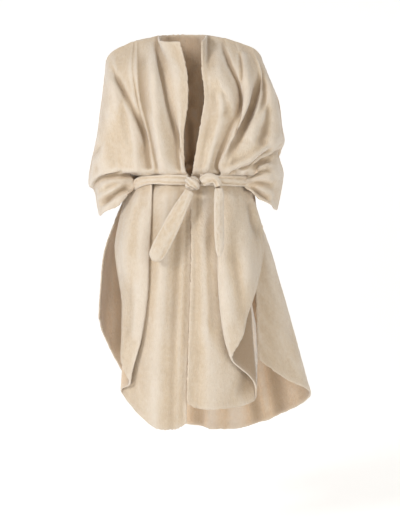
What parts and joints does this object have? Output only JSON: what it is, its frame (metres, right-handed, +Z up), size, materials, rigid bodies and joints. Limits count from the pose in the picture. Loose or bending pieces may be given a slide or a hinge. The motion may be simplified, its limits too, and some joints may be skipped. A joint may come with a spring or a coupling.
{
  "type": "belted cape",
  "caption": "Long open-front cape of thick soft cloth, cut like a ruana and tied at the waist with a sash; worn form, hollow, with bloused sleeves, pleated fronts and a fluted back.",
  "frame": {"origin": "middle of the neck opening, level with the shoulder seams, where the wearer's neck and shoulders hold the cape up", "axes": "+Z up; the front faces -Y; +X towards the wearer's left"},
  "size_m": [0.6729, 0.4269, 1.2171],
  "materials": {
    "front_right": "thick soft pile, matt",
    "front_left": "thick soft pile, matt",
    "back": "thick soft pile, matt",
    "belt_band": "thick soft pile, matt",
    "belt_knot": "thick soft pile, matt",
    "belt_loop": "thick soft pile, matt",
    "belt_tail_right": "thick soft pile, matt",
    "belt_tail_left": "thick soft pile, matt"
  },
  "bodies": {
    "root": {"front_right": "front_right", "front_left": "front_left", "back": "back", "belt_band": "belt_band", "belt_knot": "belt_knot", "belt_loop": "belt_loop", "belt_tail_right": "belt_tail_right", "belt_tail_left": "belt_tail_left"}
  },
  "joints": []
}
